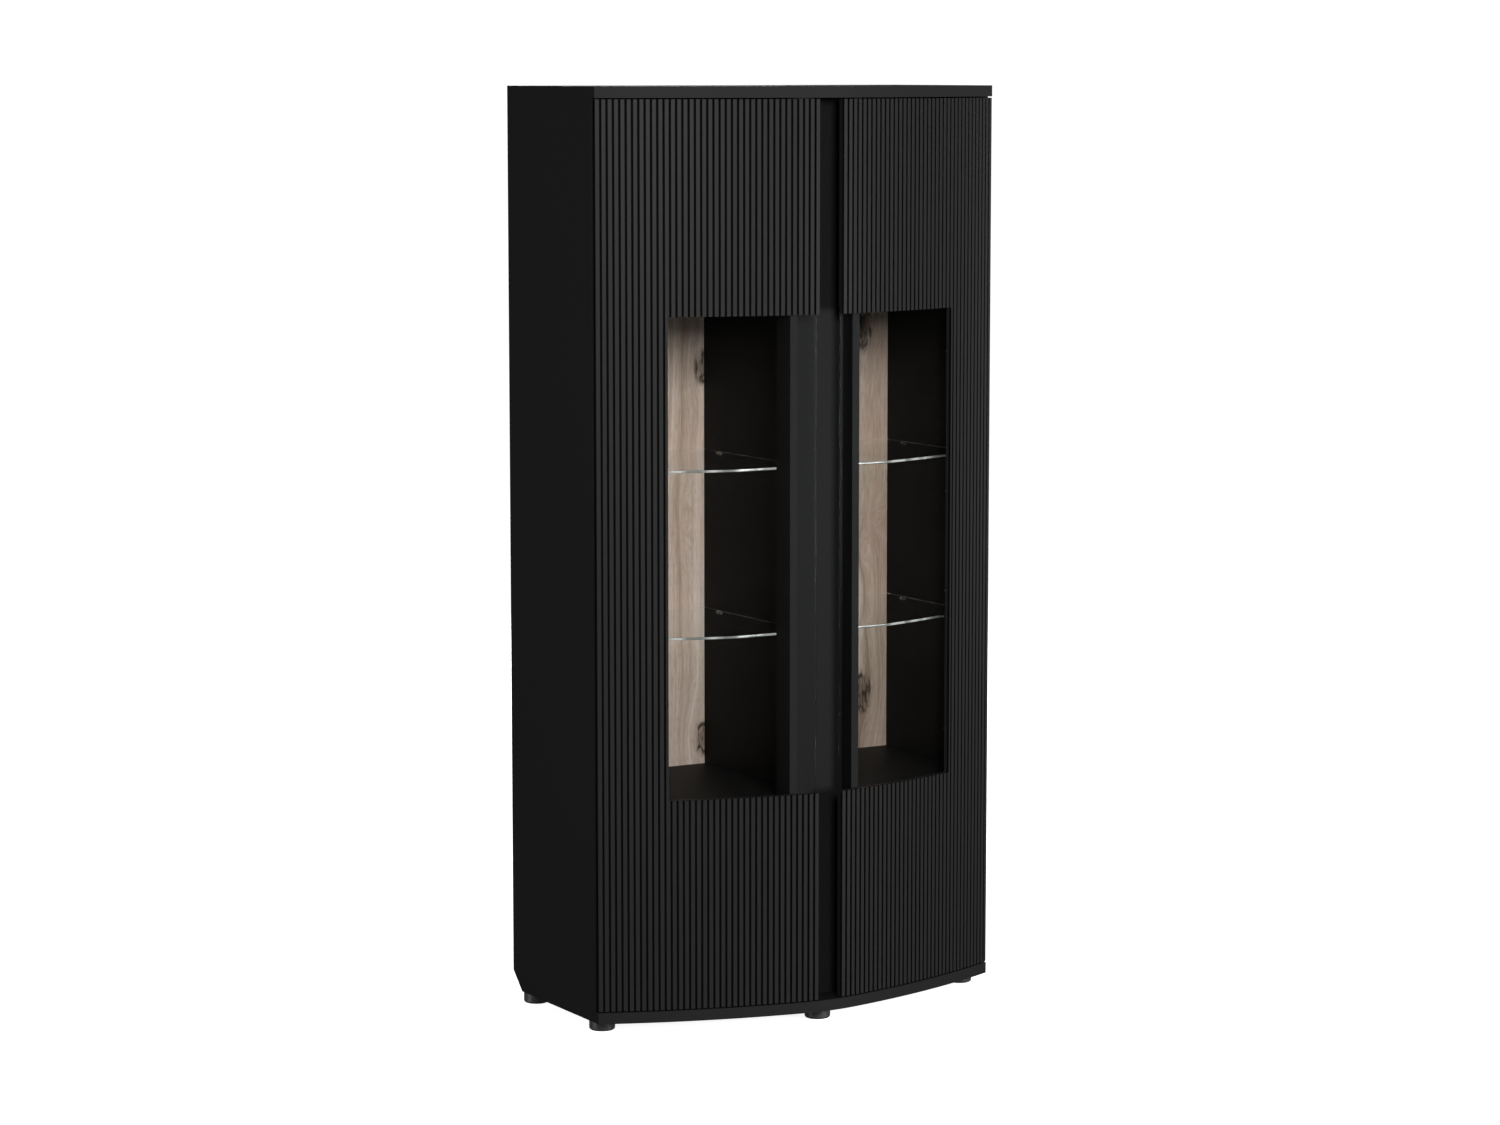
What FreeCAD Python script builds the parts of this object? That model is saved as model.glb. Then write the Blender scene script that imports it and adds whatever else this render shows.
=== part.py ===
import FreeCAD, Part

import math
import os

# Curio cabinet with a bowed front, two fluted doors with glass windows, and glass shelves.
# Millimetres. X is to the right, Y to the back, Z up. The origin is on the floor, at the middle
# of the cabinet's footprint. Right-hand pieces are drawn, and left-hand pieces are their mirror.

# Carcass
WIDTH = 900.0
SIDE_DEPTH = 364.0          # straight side, from the front corner to the back
BULGE = 126.0               # how far the bowed front stands out ahead of its corners
BODY_HEIGHT = 1808.0        # underside of the base plate to the top
FOOT_HEIGHT = 23.0
NOSE_RADIUS = 358.0         # tighter middle arc of the front
NOSE_HALF_ANGLE = math.radians(9.6)
PLATE_THICKNESS = 22.0      # top plate and base plate
BOARD_THICKNESS = 18.0      # sides, partition, display floors and ceilings, rails
SIDE_SETBACK = 15.0         # side panel's front edge, behind the front corner
SKIRTING_CUT = 38.0         # bevel at the bottom of the back, for a skirting board
BACK_THICKNESS = 3.0
BACK_RECESS = 1.5           # back panels, in from the carcass's back edges
REBATE_WIDTH = 8.0          # how far a back panel laps onto a board's edge
RAIL_HEIGHT = 60.0

# Display compartments
FLOOR_TOP = 422.0           # above the underside of the base plate, like the next four
CEILING_UNDERSIDE = 1386.0
SHELF_HEIGHTS = {"lower": 742.0, "upper": 1067.0}
WINDOW_BOTTOM = 436.0
WINDOW_TOP = 1371.0
BOARD_INSET = 18.5          # front edges of floors and ceilings, behind the front curve
SHELF_INSET = 50.0
SHELF_THICKNESS = 5.0
SHELF_PLAY = 1.0

# Grip channel between the doors
CHANNEL_HALF_WIDTH = 62.5
CHANNEL_BOARD = 16.0        # thickness of the channel's board and cheeks
CHANNEL_BACK = 48.0         # back of the channel, ahead of the front corners
CHEEK_GAP = 1.5             # cheek's front edge to the back of the door

# Doors
DOOR_THICKNESS = 16.0
DOOR_GAP = 2.5              # above and below a door
DOOR_INNER_ARC = 26.75      # door's inner edge, along the front curve from the middle
DOOR_END_PLAY = 0.5         # door's outer edge, in from the front corner
SLAT_COUNT = 37
SLAT_WIDTH = 8.6
FLUTE_DEPTH = 4.0
SLAT_CHAMFER = 0.9
STRIP_WIDTH = 138.5         # outer strip beside the window, along the curve
GLASS_THICKNESS = 3.8
GLASS_LAP = 10.0            # how far the pane laps onto the door's back
GLASS_PLAY = 0.5
END_CHAMFER = 3.0           # back corner of the door's outer edge

# Hinges: offsets along the door are from its outer edge, depths from its front
HINGE_HEIGHTS = (120.0, 620.0, 1190.0, 1690.0)
PIVOT_OFFSET = 7.5
PIVOT_DEPTH = 8.0
CUP_OFFSET = 20.5
CUP_RADIUS = 17.5
CUP_BOTTOM = 5.0
POCKET_FLOOR = 5.3
POCKET_OUTER = 15.9         # pocket's ends, from the cup's axis
POCKET_INNER = -4.5
POCKET_HALF_HEIGHT = 4.3
FLANGE_THICKNESS = 1.2
FLANGE_HALF_WIDTH = 9.0
FLANGE_HALF_HEIGHT = 28.0
CUP_SCREW_RISE = 22.5
CUP_SCREW_TIP = 7.0         # depth of the screw's tip behind the door's front
CUP_SCREW = {"shank": 1.5, "head": 3.4, "height": 1.8}
CUP_SCREW_BORE = 1.7
PIN_END_PLAY = 0.2
PIN_RADIUS = 1.25
PIN_HALF_LENGTH = 8.0
RUNNING_GAP = 0.05
EYE_RADIUS = 2.5
ARM_THICKNESS = 3.0
ARM_HALF_HEIGHT = 4.0
ARM_REACH = 15.0            # from the pivot to the arm's bend
ARM_BODY_HALF_HEIGHT = 7.0
ARM_BODY_THICKNESS = 5.0
ARM_BODY_FRONT = 18.0       # behind the front corner, like the next four
ARM_BODY_BACK = 74.0
PLATE_FRONT = 28.0
PLATE_BACK = 78.0
PLATE_SCREW = 52.0
PLATE_BASE = 2.0
PLATE_HALF_HEIGHT = 9.0
WING_HALF_HEIGHT = 22.0
WING_HALF_LENGTH = 6.0
PLATE_SCREW_RISE = 16.0
PLATE_SCREW_SIZE = {"shank": 2.5, "head": 4.0, "height": 1.5}
PLATE_SCREW_BORE = 2.6
PLATE_SCREW_BITE = 12.0     # how far the screw goes into the side panel
BLOCK_INSETS = (4.0, 8.0)   # of the block under the arm, from the plate's front and back
ARM_SCREWS = (40.0, 62.0)   # behind the front corner
ARM_SCREW = {"shank": 1.5, "head": 3.0, "height": 2.2}      # its head lies flush in the arm
ARM_SCREW_BITE = 3.0

# Small parts
FOOT_RADIUS = 25.5
FOOT_ROUNDING = 5.0
FOOT_SPOTS = {
    "front_right": (416.0, -70.0),
    "front_centre": (0.0, -195.0),
    "rear_right": (420.0, 202.0),
    "rear_centre": (0.0, 202.0),
}
PIN_SPOTS_Y = {"side": (-50.0, 170.0), "partition": (-130.0, 170.0)}
SHELF_PIN_RADIUS = 2.5
CAM_RADIUS = 7.5
CAM_DEPTH = 12.6
CAM_SETBACK = 34.0
BOLT_RADIUS = 3.0
DOWEL_RADIUS = 4.0
DOWEL_HALF_LENGTH = 15.0
DRILL_PLAY = 0.1
SEAT_GAP = 0.05             # flat fittings stand this far off the door's curved back
RECESS_REACH = 0.55         # half length of a cross recess, by the head's radius
RECESS_SLENDERNESS = 0.26   # half width of a cross recess, and its depth, by its reach
RECESS_DEPTH = 0.6
SCREW_TIP = 0.5             # chamfer of the tip, by the shank's radius
SCREW_HEAD_ROUNDING = 0.6   # rounding of the head, by its height
FLAT_TOLERANCE = 0.01
PEG_DEPTH = 8.0             # of a shelf peg in its wall
PEG_BORE_DEPTH = 8.2
PEG_DROP = 1.0              # gap from a peg up to the shelf
PEG_COLLAR = 1.5
PEG_PAD_REACH = 9.5
PEG_PAD_HALF_WIDTH = 4.5
CHANNEL_DOWEL_X = 35.0
CHEEK_DOWEL_SETBACK = 15.0
STRIP_DOWEL_ARCS = (25.0, 69.0, 110.0)      # from the strip's inner edge
STRIP_DOWEL_DEPTH = 10.0
DOWEL_BORE_PLAY = 0.5       # at each end of a dowel
CLIP_RADIUS = 9.0
CLIP_THICKNESS = 2.0
CLIP_ROUNDING = 1.0
CLIP_RECESS_REACH = 3.4
CLIP_STEM_RADIUS = 1.9
CLIP_STEM_LENGTH = 6.0
CLIP_SETBACK = 6.0          # from the edge of the glass
CLIP_ARCS = (110.0, 200.0, 290.0)
CLIP_RISES = (-380.0, -100.0, 100.0, 380.0)
BUMPER_RADIUS = 4.0
BUMPER_THICKNESS = 1.9
BUMPER_END_SETBACK = 35.0
BUMPER_WINDOW_SETBACK = 45.0
FOOT_SCREW = {"shank": 2.0, "head": 4.5, "height": 3.0}
FOOT_SCREW_SEAT = 12.0
FOOT_SCREW_BITE = 15.0
NAIL_PITCH = 150.0

# Worked out from the above
HALF_WIDTH = WIDTH / 2
DEPTH = SIDE_DEPTH + BULGE
FRONT_Y = -DEPTH / 2
CORNER_Y = FRONT_Y + BULGE
BACK_Y = DEPTH / 2
BASE_LOW = FOOT_HEIGHT
BASE_TOP = BASE_LOW + PLATE_THICKNESS
TOP_HIGH = BASE_LOW + BODY_HEIGHT
TOP_LOW = TOP_HIGH - PLATE_THICKNESS
BACK_FRONT_Y = BACK_Y - BACK_RECESS - BACK_THICKNESS
BACK_LOW = BASE_LOW + SKIRTING_CUT - BACK_RECESS + 0.5
SIDE_INNER_X = HALF_WIDTH - BOARD_THICKNESS
PARTITION_X = BOARD_THICKNESS / 2
CHANNEL_BACK_Y = CORNER_Y - CHANNEL_BACK
CHEEK_OUTER_X = CHANNEL_HALF_WIDTH + CHANNEL_BOARD
DOOR_LOW = BASE_TOP + DOOR_GAP
DOOR_HIGH = TOP_LOW - DOOR_GAP
WINDOW_LOW = BASE_LOW + WINDOW_BOTTOM
WINDOW_HIGH = BASE_LOW + WINDOW_TOP

# The front curve: a nose arc, and a flatter arc each side of it that meets the front corner
NOSE_X = NOSE_RADIUS * math.sin(NOSE_HALF_ANGLE)
NOSE_RISE = NOSE_RADIUS * (1 - math.cos(NOSE_HALF_ANGLE))
FLANK_CHORD = math.hypot(HALF_WIDTH - NOSE_X, BULGE - NOSE_RISE)
FLANK_CHORD_ANGLE = math.atan2(BULGE - NOSE_RISE, HALF_WIDTH - NOSE_X)
FLANK_TURN = 2 * (FLANK_CHORD_ANGLE - NOSE_HALF_ANGLE)
FLANK_RADIUS = FLANK_CHORD / (2 * math.sin(FLANK_TURN / 2))
NOSE_ARC = NOSE_RADIUS * NOSE_HALF_ANGLE
HALF_ARC = NOSE_ARC + FLANK_RADIUS * FLANK_TURN
FLANK_CENTRE_X = -(FLANK_RADIUS - NOSE_RADIUS) * math.sin(NOSE_HALF_ANGLE)
FLANK_CENTRE_Y = FRONT_Y + NOSE_RADIUS + (FLANK_RADIUS - NOSE_RADIUS) * math.cos(NOSE_HALF_ANGLE)

DOOR_OUTER_ARC = HALF_ARC - DOOR_END_PLAY
STRIP_INNER_ARC = HALF_ARC - STRIP_WIDTH
FLUTE_PITCH = (DOOR_OUTER_ARC - DOOR_INNER_ARC - SLAT_WIDTH) / (SLAT_COUNT - 1)
CUP_ARC = DOOR_OUTER_ARC - CUP_OFFSET
GLASS_DEPTH = DOOR_THICKNESS - 4.0

Z_AXIS = FreeCAD.Vector(0, 0, 1)


def vec(x, y, z=0.0):
    return FreeCAD.Vector(x, y, z)


def bow_angle(arc):
    """Heading of the front curve, in radians, `arc` mm along it to the right of the middle."""
    length = abs(arc)
    if length <= NOSE_ARC:
        angle = length / NOSE_RADIUS
    else:
        angle = NOSE_HALF_ANGLE + (length - NOSE_ARC) / FLANK_RADIUS
    return math.copysign(angle, arc)


def bow_point(arc, inset=0.0):
    """Plan point `arc` mm along the front curve, moved `inset` mm towards the back."""
    angle = bow_angle(arc)
    if abs(arc) <= NOSE_ARC:
        centre_x, centre_y, radius = 0.0, FRONT_Y + NOSE_RADIUS, NOSE_RADIUS
    else:
        centre_x, centre_y, radius = math.copysign(FLANK_CENTRE_X, -arc), FLANK_CENTRE_Y, FLANK_RADIUS
    x = centre_x + (radius - inset) * math.sin(angle)
    y = centre_y - (radius - inset) * math.cos(angle)
    return vec(x, y)


def bow_arc_at_x(x, inset):
    """Length along the front curve at which its inset copy reaches `x`, on the right-hand flank."""
    angle = math.asin((x - FLANK_CENTRE_X) / (FLANK_RADIUS - inset))
    return NOSE_ARC + FLANK_RADIUS * (angle - NOSE_HALF_ANGLE)


def bow_arc_at_y(y, inset):
    """Length along the front curve at which its inset copy reaches `y`, on the right-hand flank."""
    angle = math.acos((FLANK_CENTRE_Y - y) / (FLANK_RADIUS - inset))
    return NOSE_ARC + FLANK_RADIUS * (angle - NOSE_HALF_ANGLE)


def bow_edges(arc_from, arc_to, inset):
    """The front curve's arcs between two lengths, left to right."""
    joins = [join for join in (-NOSE_ARC, NOSE_ARC) if arc_from < join < arc_to]
    stops = [arc_from] + joins + [arc_to]
    edges = []
    for start, end in zip(stops, stops[1:]):
        middle = bow_point((start + end) / 2, inset)
        arc = Part.Arc(bow_point(start, inset), middle, bow_point(end, inset))
        edges.append(arc.toShape())
    return edges


def line_edges(points):
    return [Part.LineSegment(a, b).toShape() for a, b in zip(points, points[1:])]


def prism(edges, low, high):
    """Upright solid between two heights, from a closed plan outline."""
    face = Part.Face(Part.Wire(edges))
    solid = face.extrude(vec(0, 0, high - low))
    solid.translate(vec(0, 0, low))
    return solid


def bowed_board(arc_from, arc_to, inset, corners, low, high):
    """Board with a bowed front edge, closed by straight edges through the plan corners."""
    corner_points = [vec(x, y) for x, y in corners]
    path = [bow_point(arc_to, inset)] + corner_points + [bow_point(arc_from, inset)]
    return prism(bow_edges(arc_from, arc_to, inset) + line_edges(path), low, high)


def bow_band(arc_from, arc_to, inset_front, inset_back, low, high):
    """Curved slab that follows the front, between two insets."""
    back = bow_edges(arc_from, arc_to, inset_back)
    front = bow_edges(arc_from, arc_to, inset_front)
    ends = line_edges([bow_point(arc_from, inset_front), bow_point(arc_from, inset_back)])
    ends += line_edges([bow_point(arc_to, inset_front), bow_point(arc_to, inset_back)])
    outline = Part.__sortEdges__(front + back + ends)
    return prism(outline, low, high)


def box(x, y, z):
    """Box from three (low, high) pairs."""
    return Part.makeBox(x[1] - x[0], y[1] - y[0], z[1] - z[0], vec(x[0], y[0], z[0]))


def cylinder(radius, start, axis, length):
    return Part.makeCylinder(radius, length, start, axis)


def at_bow(shape, arc, height):
    """Places a shape drawn with X along the door and Y into it at a spot on the front curve."""
    placed = shape.copy()
    placed.rotate(vec(0, 0), Z_AXIS, math.degrees(bow_angle(arc)))
    placed.translate(bow_point(arc) + vec(0, 0, height))
    return placed


def mirrored(shape):
    return shape.mirror(vec(0, 0), vec(1, 0))


def both_sides(shape):
    return [shape, mirrored(shape)]


def group(solids):
    return Part.makeCompound(solids)


def cut_all(shape, tools):
    """The shape with every tool taken out of it, as one solid."""
    return shape.cut(group(tools)).Solids[0]


def turned(shape, start, axis):
    """Places a shape drawn along Z at a point, along an axis."""
    placed = shape.copy()
    placed.Placement = FreeCAD.Placement(start, FreeCAD.Rotation(Z_AXIS, axis))
    return placed


def screw(length, size):
    """Pan-head screw drawn along Z: its tip below, its head above Z 0, with a cross recess."""
    shank = cylinder(size["shank"], vec(0, 0, -length), Z_AXIS, length)
    shank = shank.makeChamfer(size["shank"] * SCREW_TIP, rim_edges(shank, -length))
    head = cylinder(size["head"], vec(0, 0), Z_AXIS, size["height"])
    head = head.makeFillet(size["height"] * SCREW_HEAD_ROUNDING, rim_edges(head, size["height"]))
    recess = cross_recess(size["head"] * RECESS_REACH, size["height"])
    return shank.fuse(head).cut(recess).Solids[0]


def rim_edges(shape, height):
    """The round edges that lie flat at one height."""
    rims = []
    for edge in shape.Edges:
        if abs(edge.BoundBox.ZMin - height) + edge.BoundBox.ZLength < FLAT_TOLERANCE:
            rims.append(edge)
    return rims


def cross_recess(reach, top):
    """Cross that a screwdriver turns, down from `top` along Z."""
    half = reach * RECESS_SLENDERNESS
    low = top - reach * RECESS_DEPTH
    arm = box((-reach, reach), (-half, half), (low, top + 1.0))
    return arm.fuse(box((-half, half), (-reach, reach), (low, top + 1.0)))


# ---------------------------------------------------------------- fittings of the carcass

def cam_set(cam_centre, cam_axis, bolt_axis, reach, bite):
    """Cam lock, its bolt, and the cutters for the cam's board and for the board that it pulls in."""
    cam = cylinder(CAM_RADIUS, cam_centre, cam_axis, CAM_DEPTH)
    slot = box((-5.0, 5.0), (-0.8, 0.8), (0.0, 2.0))
    slot.Placement = FreeCAD.Placement(cam_centre, FreeCAD.Rotation(Z_AXIS, cam_axis))
    cam = cam.cut(slot)
    middle = cam_centre + cam_axis * (BOARD_THICKNESS / 2)
    bolt_start = middle + bolt_axis * CAM_RADIUS
    bolt = cylinder(BOLT_RADIUS, bolt_start, bolt_axis, reach - CAM_RADIUS + bite)
    cam_bore = cylinder(CAM_RADIUS + DRILL_PLAY, cam_centre, cam_axis, CAM_DEPTH + DRILL_PLAY)
    bolt_bore = cylinder(BOLT_RADIUS + 1.0, middle, bolt_axis, reach)
    bite_bore = cylinder(BOLT_RADIUS + DRILL_PLAY, middle, bolt_axis, reach + bite + DRILL_PLAY)
    return cam, bolt, cam_bore.fuse(bolt_bore), bite_bore


def cam_sets():
    """Every cam of the right-hand half, with the boards that it joins."""
    sets = []
    into_floor = ("floor", BASE_LOW + FLOOR_TOP - BOARD_THICKNESS, 1)
    into_ceiling = ("ceiling", BASE_LOW + CEILING_UNDERSIDE + BOARD_THICKNESS, -1)
    for board, face_z, way in (into_floor, into_ceiling):
        for y in (-40.0, 190.0):
            at_side = vec(SIDE_INNER_X - CAM_SETBACK, y, face_z)
            sets.append((board, "side", cam_set(at_side, vec(0, 0, way), vec(1, 0), CAM_SETBACK, 11.0)))
        for y in (-120.0, 190.0):
            at_partition = vec(PARTITION_X + CAM_SETBACK, y, face_z)
            sets.append((board, "partition",
                         cam_set(at_partition, vec(0, 0, way), vec(-1, 0), CAM_SETBACK, 8.5)))
    for plate, end_z, way in (("base", BASE_TOP, -1), ("top", TOP_LOW, 1)):
        for y in (-60.0, 160.0):
            centre = vec(SIDE_INNER_X, y, end_z - way * CAM_SETBACK)
            sets.append(("side", plate, cam_set(centre, vec(1, 0), vec(0, 0, way), CAM_SETBACK, 11.0)))
    return sets


def partition_cam_sets():
    """Cams that hold the partition to the top and base plates."""
    sets = []
    for plate, end_z, way in (("base", BASE_TOP, -1), ("top", TOP_LOW, 1)):
        for y in (-130.0, 160.0):
            centre = vec(PARTITION_X, y, end_z - way * CAM_SETBACK)
            fittings = cam_set(centre, vec(-1, 0), vec(0, 0, way), CAM_SETBACK, 11.0)
            sets.append(("partition", plate, fittings))
    return sets


RIGHT_CAMS = cam_sets()
PARTITION_CAMS = partition_cam_sets()


def cam_cutters(board):
    """Bores that the right-hand cams and bolts need in one kind of board."""
    cutters = [fittings[2] for home, _, fittings in RIGHT_CAMS if home == board]
    cutters += [fittings[3] for _, mate, fittings in RIGHT_CAMS if mate == board]
    return cutters


def cam_nodes():
    right = [fittings for _, _, fittings in RIGHT_CAMS]
    middle = [fittings for _, _, fittings in PARTITION_CAMS]
    locks = [side for fittings in right for side in both_sides(fittings[0])]
    bolts = [side for fittings in right for side in both_sides(fittings[1])]
    locks += [fittings[0] for fittings in middle]
    bolts += [fittings[1] for fittings in middle]
    return {"cam_locks": group(locks), "cam_bolts": group(bolts)}


def channel_dowel_spots():
    """Plan spots of the dowels that hold the grip channel to the plates."""
    board_y = CHANNEL_BACK_Y - CHANNEL_BOARD / 2
    cheek_x = CHANNEL_HALF_WIDTH + CHANNEL_BOARD / 2
    cheek_y = board_y - CHEEK_DOWEL_SETBACK
    right_half = [(CHANNEL_DOWEL_X, board_y), (cheek_x, cheek_y)]
    return right_half + [(-x, y) for x, y in right_half]


def channel_dowels(radius, half_length):
    dowels = []
    for x, y in channel_dowel_spots():
        for joint_z in (BASE_TOP, TOP_LOW):
            dowels.append(cylinder(radius, vec(x, y, joint_z - half_length), Z_AXIS, 2 * half_length))
    return dowels


def skirting_wedge():
    """Prism that bevels the bottom of the back, right across the cabinet."""
    behind = BACK_Y + 1.0
    below = BASE_LOW - 1.0
    points = [
        vec(-HALF_WIDTH - 1, BACK_Y - SKIRTING_CUT - 1, below),
        vec(-HALF_WIDTH - 1, behind, BASE_LOW + SKIRTING_CUT + 1),
        vec(-HALF_WIDTH - 1, behind, below),
    ]
    face = Part.Face(Part.Wire(line_edges(points + points[:1])))
    return face.extrude(vec(WIDTH + 2, 0, 0))


def shelf_pin(wall_x, way, y, shelf_low):
    """Peg in a side wall, with a flat pad under the shelf. `way` points out of the wall in X."""
    centre_z = shelf_low - SHELF_PIN_RADIUS - PEG_DROP
    axis = vec(way, 0)
    middle = vec(wall_x, y, centre_z)
    half = PEG_PAD_HALF_WIDTH
    peg = cylinder(SHELF_PIN_RADIUS, middle - axis * PEG_DEPTH, axis, PEG_DEPTH + PEG_COLLAR)
    collar = cylinder(half, middle, axis, PEG_COLLAR)
    collar_x = sorted((wall_x, wall_x + way * PEG_COLLAR))
    above = box(collar_x, (y - half, y + half), (shelf_low, shelf_low + half))
    reach = sorted((wall_x + way * PEG_COLLAR, wall_x + way * PEG_PAD_REACH))
    pad = box(reach, (y - half, y + half), (centre_z - PEG_COLLAR, shelf_low))
    return peg.fuse(collar.cut(above)).fuse(pad).removeSplitter().Solids[0]


def shelf_pin_places():
    """Wall, direction, y and shelf underside of each peg on the right-hand half."""
    places = []
    for height in SHELF_HEIGHTS.values():
        shelf_low = BASE_LOW + height
        places += [(SIDE_INNER_X, -1, y, shelf_low) for y in PIN_SPOTS_Y["side"]]
        places += [(PARTITION_X, 1, y, shelf_low) for y in PIN_SPOTS_Y["partition"]]
    return places


def shelf_pin_bores(wall):
    """Peg holes in one wall of the right-hand half."""
    bores = []
    for wall_x, way, y, shelf_low in shelf_pin_places():
        if wall_x == wall:
            start = vec(wall_x - way * PEG_BORE_DEPTH, y, shelf_low - SHELF_PIN_RADIUS - PEG_DROP)
            bores.append(cylinder(SHELF_PIN_RADIUS + DRILL_PLAY, start, vec(way, 0), PEG_BORE_DEPTH))
    return bores


# ---------------------------------------------------------------- carcass

def plates():
    """Base plate and top plate."""
    corners = [(HALF_WIDTH, BACK_Y), (-HALF_WIDTH, BACK_Y)]
    nodes = {}
    for name, low, high in (("base", BASE_LOW, BASE_TOP), ("top", TOP_LOW, TOP_HIGH)):
        plate = bowed_board(-HALF_ARC, HALF_ARC, 0.0, corners, low, high)
        cutters = [side for cutter in cam_cutters(name) for side in both_sides(cutter)]
        cutters += [fittings[3] for _, mate, fittings in PARTITION_CAMS if mate == name]
        cutters += channel_dowels(DOWEL_RADIUS + DRILL_PLAY, DOWEL_HALF_LENGTH + DOWEL_BORE_PLAY)
        nodes[name + "_plate"] = cut_all(plate, cutters)
    rebate_x = SIDE_INNER_X + REBATE_WIDTH
    rebate = box((-rebate_x, rebate_x), (BACK_FRONT_Y, BACK_Y), (TOP_LOW, TOP_LOW + REBATE_WIDTH))
    nodes["top_plate"] = cut_all(nodes["top_plate"], [rebate])
    nodes["base_plate"] = cut_all(nodes["base_plate"], [skirting_wedge()])
    return nodes


def side_panel():
    panel = box((SIDE_INNER_X, HALF_WIDTH), (CORNER_Y + SIDE_SETBACK, BACK_Y), (BASE_TOP, TOP_LOW))
    rebate = box((SIDE_INNER_X, SIDE_INNER_X + REBATE_WIDTH), (BACK_FRONT_Y, BACK_Y), (BASE_TOP, TOP_LOW))
    cutters = [rebate, skirting_wedge()] + cam_cutters("side") + shelf_pin_bores(SIDE_INNER_X)
    return cut_all(panel, cutters)


def centre_partition():
    board = box((-PARTITION_X, PARTITION_X), (CHANNEL_BACK_Y, BACK_FRONT_Y), (BASE_TOP, TOP_LOW))
    sided = cam_cutters("partition") + shelf_pin_bores(PARTITION_X)
    cutters = [side for cutter in sided for side in both_sides(cutter)]
    cutters += [fittings[2] for _, _, fittings in PARTITION_CAMS]
    return cut_all(board, cutters + [skirting_wedge()])


def display_board(low, kind):
    """Floor or ceiling of one display compartment, notched round the grip channel."""
    corners = [
        (SIDE_INNER_X, BACK_FRONT_Y),
        (PARTITION_X, BACK_FRONT_Y),
        (PARTITION_X, CHANNEL_BACK_Y),
        (CHEEK_OUTER_X, CHANNEL_BACK_Y),
    ]
    arc_from = bow_arc_at_x(CHEEK_OUTER_X, BOARD_INSET)
    arc_to = bow_arc_at_x(SIDE_INNER_X, BOARD_INSET)
    board = bowed_board(arc_from, arc_to, BOARD_INSET, corners, low, low + BOARD_THICKNESS)
    return cut_all(board, cam_cutters(kind))


def back_panel():
    z = (BACK_LOW, TOP_LOW + REBATE_WIDTH - 0.5)
    return box((0.25, SIDE_INNER_X + REBATE_WIDTH - 0.5), (BACK_FRONT_Y, BACK_FRONT_Y + BACK_THICKNESS), z)


def rear_rail():
    y = (BACK_FRONT_Y - BOARD_THICKNESS, BACK_FRONT_Y)
    rail = box((PARTITION_X, SIDE_INNER_X), y, (BASE_TOP, BASE_TOP + RAIL_HEIGHT))
    return cut_all(rail, [skirting_wedge()])


def nail(x, z):
    shank = cylinder(0.8, vec(x, BACK_FRONT_Y - 12.0, z), vec(0, 1), 12.0 + BACK_THICKNESS)
    head = cylinder(2.5, vec(x, BACK_FRONT_Y + BACK_THICKNESS, z), vec(0, 1), 0.8)
    return shank.fuse(head)


def back_panel_nails():
    """Nails round the edges of both back panels."""
    nails = []
    upright_count = int((TOP_LOW - BACK_LOW) / NAIL_PITCH)
    for index in range(upright_count + 1):
        z = BACK_LOW + 30.0 + index * NAIL_PITCH
        for x in (4.5, SIDE_INNER_X + REBATE_WIDTH / 2):
            nails += both_sides(nail(x, z))
    for column in (1, 2):
        x = PARTITION_X + column * (SIDE_INNER_X - PARTITION_X) / 3
        for z in (BACK_LOW + 12.0, TOP_LOW + REBATE_WIDTH / 2):
            nails += both_sides(nail(x, z))
    return group(nails)


def grip_channel():
    """Board and cheeks of the recess that the doors' inner edges are gripped from."""
    board_y = (CHANNEL_BACK_Y - CHANNEL_BOARD, CHANNEL_BACK_Y)
    board = box((-CHANNEL_HALF_WIDTH, CHANNEL_HALF_WIDTH), board_y, (BASE_TOP, TOP_LOW))
    door_back = bow_point(bow_arc_at_x(CHEEK_OUTER_X, DOOR_THICKNESS), DOOR_THICKNESS)
    cheek_y = (door_back.y + CHEEK_GAP, CHANNEL_BACK_Y)
    cheek = box((CHANNEL_HALF_WIDTH, CHEEK_OUTER_X), cheek_y, (BASE_TOP, TOP_LOW))
    bores = channel_dowels(DOWEL_RADIUS + DRILL_PLAY, DOWEL_HALF_LENGTH + DOWEL_BORE_PLAY)
    cheek = cut_all(cheek, bores)
    return {
        "grip_channel_board": cut_all(board, bores),
        "right_grip_cheek": cheek,
        "left_grip_cheek": mirrored(cheek),
        "channel_dowels": group(channel_dowels(DOWEL_RADIUS, DOWEL_HALF_LENGTH)),
    }


def glass_shelf(height):
    """Glass shelf with a straight front behind the channel, then bowed with the doors."""
    front_y = CHANNEL_BACK_Y + SHELF_PLAY
    near_x = PARTITION_X + SHELF_PLAY
    far_x = SIDE_INNER_X - SHELF_PLAY
    corners = [(far_x, BACK_FRONT_Y - 2.0), (near_x, BACK_FRONT_Y - 2.0), (near_x, front_y)]
    arc_from = bow_arc_at_y(front_y, SHELF_INSET)
    arc_to = bow_arc_at_x(far_x, SHELF_INSET)
    low = BASE_LOW + height
    return bowed_board(arc_from, arc_to, SHELF_INSET, corners, low, low + SHELF_THICKNESS)


def foot(x, y):
    """Round glide with a rounded lower edge and a recessed screw hole."""
    disc = cylinder(FOOT_RADIUS, vec(x, y), Z_AXIS, FOOT_HEIGHT)
    lower_edge = [edge for edge in disc.Edges if edge.BoundBox.ZMax < 0.01]
    disc = disc.makeFillet(FOOT_ROUNDING, lower_edge)
    recess = cylinder(5.5, vec(x, y), Z_AXIS, 12.0)
    hole = cylinder(2.3, vec(x, y), Z_AXIS, FOOT_HEIGHT)
    return cut_all(disc, [recess, hole])


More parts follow.
